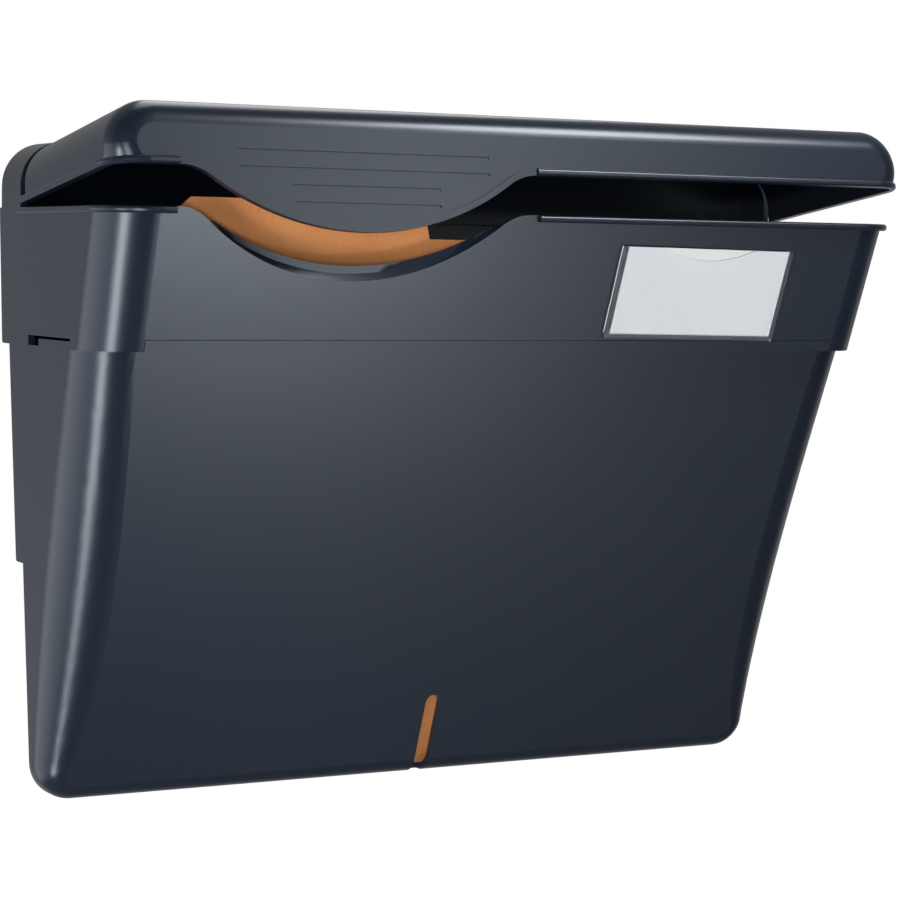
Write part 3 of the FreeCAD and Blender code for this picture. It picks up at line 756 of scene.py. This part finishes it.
class Studio:
    """Floor, background light, softboxes and camera."""

    WHITE = (1.0, 1.0, 1.0, 1.0)
    FLOOR_LEVEL = -2.4
    FLOOR_HALF = 14.0
    FLOOR_COLOUR = (0.35, 0.35, 0.35, 1.0)
    FLOOR_LIFT = 0.96
    FRONT_GLOW = 0.10
    BACK_GLOW = 0.35
    SOFTBOXES = (
        Softbox("left_low", -66.4, -15.5, 0.15, 0.58, 14.2, distance=0.7),
        Softbox("front_low", 24.9, -31.9, 0.37, 0.38, 22.0),
        Softbox("front_lower", 27.0, -29.6, 0.48, 0.39, 6.9),
        Softbox("front_fill", -30.0, 0.0, 1.0, 1.0, 8.0),
        Softbox("front_high", 42.0, 48.0, 0.20, 0.22, 23.0, distance=0.7),
        Softbox("front_middle", 27.0, 16.0, 0.50, 1.00, 5.0),
        Softbox("left_side", -112.0, -15.7, 3.0, 2.7, 1.5),
        Softbox("rear_high", 152.0, 57.0, 1.0, 3.0, 2.9),
    )
    CAMERA_PLACE = (-0.497466, -0.972981, 0.008782)
    CAMERA_TURN = 28.319
    CAMERA_TILT = -4.027
    CAMERA_ROLL = 0.951
    FOCAL_PIXELS = 2718.569
    FRAME_PIXELS = 900
    SENSOR = 36.0

    def build(self) -> None:
        """Make the whole studio."""
        bpy.context.scene.view_settings.view_transform = "Standard"
        self.build_world()
        self.build_floor()
        for softbox in self.SOFTBOXES:
            softbox.build()
        self.build_camera()

    def build_world(self) -> None:
        """Make a room that is white behind the object and dimmer in front."""
        world = bpy.data.worlds.new("studio")
        bpy.context.scene.world = world
        world.use_nodes = True
        nodes = Nodes(world.node_tree)
        out = nodes.add("OutputWorld")
        glow = nodes.add("Background", Color=self.WHITE)
        place = nodes.add("TexCoord")
        split = nodes.add("SeparateXYZ")
        nodes.link(place.outputs["Generated"], split.inputs["Vector"])
        room = nodes.ramp(split.outputs["Y"], -0.25, 0.35, self.FRONT_GLOW, self.BACK_GLOW)
        path = nodes.add("LightPath")
        seen = nodes.math("MAXIMUM", path.outputs["Is Camera Ray"], path.outputs["Is Transmission Ray"])
        strength = nodes.math("MAXIMUM", seen, room)
        nodes.link(strength, glow.inputs["Strength"])
        nodes.link(glow.outputs["Background"], out.inputs["Surface"])

    def build_floor(self) -> None:
        """Make the plain pale floor, well below the holder."""
        half = self.FLOOR_HALF
        mesh = bpy.data.meshes.new("floor")
        mesh.from_pydata([(-half, -half, self.FLOOR_LEVEL), (half, -half, self.FLOOR_LEVEL),
                          (half, half, self.FLOOR_LEVEL), (-half, half, self.FLOOR_LEVEL)], [], [(0, 1, 2, 3)])
        floor = bpy.data.objects.new("floor", mesh)
        bpy.context.scene.collection.objects.link(floor)
        material = bpy.data.materials.new("pale_floor")
        material.use_nodes = True
        nodes = Nodes(material.node_tree)
        out = nodes.add("OutputMaterial")
        matt = nodes.add("BsdfDiffuse", Color=self.FLOOR_COLOUR)
        lift = nodes.add("Emission", Color=self.WHITE)
        path = nodes.add("LightPath")
        seen = nodes.math("MAXIMUM", path.outputs["Is Camera Ray"], path.outputs["Is Transmission Ray"])
        place = nodes.add("NewGeometry")
        split = nodes.add("SeparateXYZ")
        nodes.link(place.outputs["Position"], split.inputs["Vector"])
        behind = nodes.ramp(split.outputs["Y"], 0.3, 3.0, 0.0, self.BACK_GLOW)
        mirrored = nodes.math("MULTIPLY", path.outputs["Is Glossy Ray"], behind)
        shown = nodes.math("MULTIPLY", seen, self.FLOOR_LIFT)
        nodes.link(nodes.math("MAXIMUM", shown, mirrored), lift.inputs["Strength"])
        both = nodes.add("AddShader")
        nodes.link(matt.outputs["BSDF"], both.inputs[0])
        nodes.link(lift.outputs["Emission"], both.inputs[1])
        nodes.link(both.outputs["Shader"], out.inputs["Surface"])
        mesh.materials.append(material)

    def build_camera(self) -> None:
        """Place the camera at the photograph's viewing angle."""
        turn, tilt, roll = (math.radians(v) for v in (self.CAMERA_TURN, self.CAMERA_TILT, self.CAMERA_ROLL))
        ahead = Vector((math.sin(turn) * math.cos(tilt), math.cos(turn) * math.cos(tilt), math.sin(tilt)))
        level = Vector((math.cos(turn), -math.sin(turn), 0.0))
        rise = level.cross(ahead)
        right = level * math.cos(roll) + rise * math.sin(roll)
        up = rise * math.cos(roll) - level * math.sin(roll)
        lens = bpy.data.cameras.new("camera")
        lens.sensor_width = self.SENSOR
        lens.lens = self.FOCAL_PIXELS / self.FRAME_PIXELS * self.SENSOR
        lens.clip_start = 0.01
        lens.clip_end = 50.0
        camera = bpy.data.objects.new("camera", lens)
        bpy.context.scene.collection.objects.link(camera)
        turned = Matrix((right, up, -ahead)).transposed().to_4x4()
        camera.matrix_world = Matrix.Translation(self.CAMERA_PLACE) @ turned
        bpy.context.scene.camera = camera


def main() -> None:
    """Build the holder and the studio around it."""
    logging.basicConfig(level=logging.INFO, format="%(name)s: %(message)s")
    Holder(Finishes()).build()
    Studio().build()
    write_sizes()


if __name__ == "__main__":
    main()
